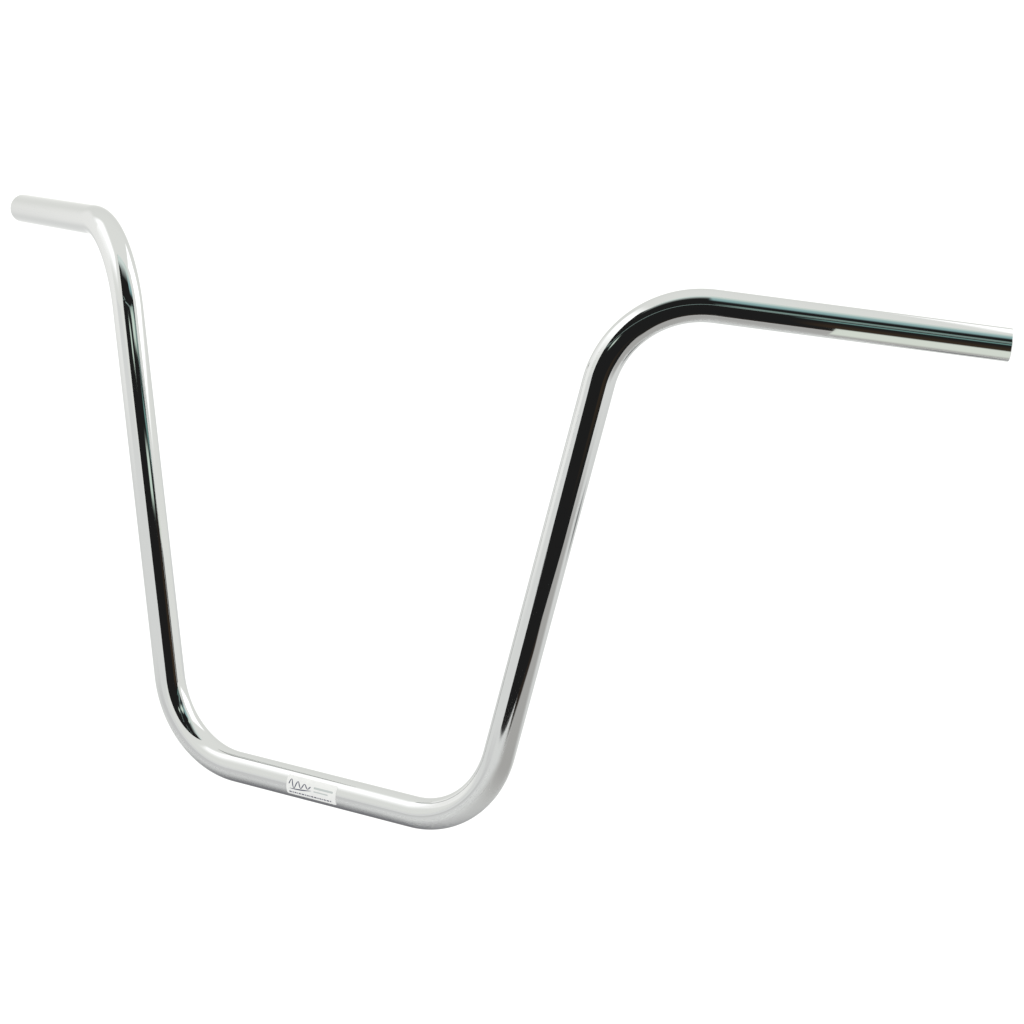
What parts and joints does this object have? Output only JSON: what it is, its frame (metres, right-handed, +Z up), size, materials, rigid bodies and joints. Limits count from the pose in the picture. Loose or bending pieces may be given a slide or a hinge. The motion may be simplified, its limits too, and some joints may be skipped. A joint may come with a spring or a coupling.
{
  "type": "motorcycle handlebar",
  "caption": "High-rise motorcycle handlebar bent from one chromed steel tube, with a straight clamp section, two uprights and two pulled-back grip ends.",
  "frame": {"origin": "middle of the straight section that the risers clamp, on the tube's axis", "axes": "+X along the clamped section, to the rider's left; +Y towards the rider, the way the grips are pulled back; +Z up in the plane of the two uprights; the front faces -Y"},
  "size_m": [0.8852, 0.154, 0.3998],
  "materials": {
    "chrome": "bright chrome plate, polished",
    "label": "printed white adhesive film, satin"
  },
  "bodies": {
    "root": {"bar_tube": "chrome", "label": "label"}
  },
  "joints": []
}
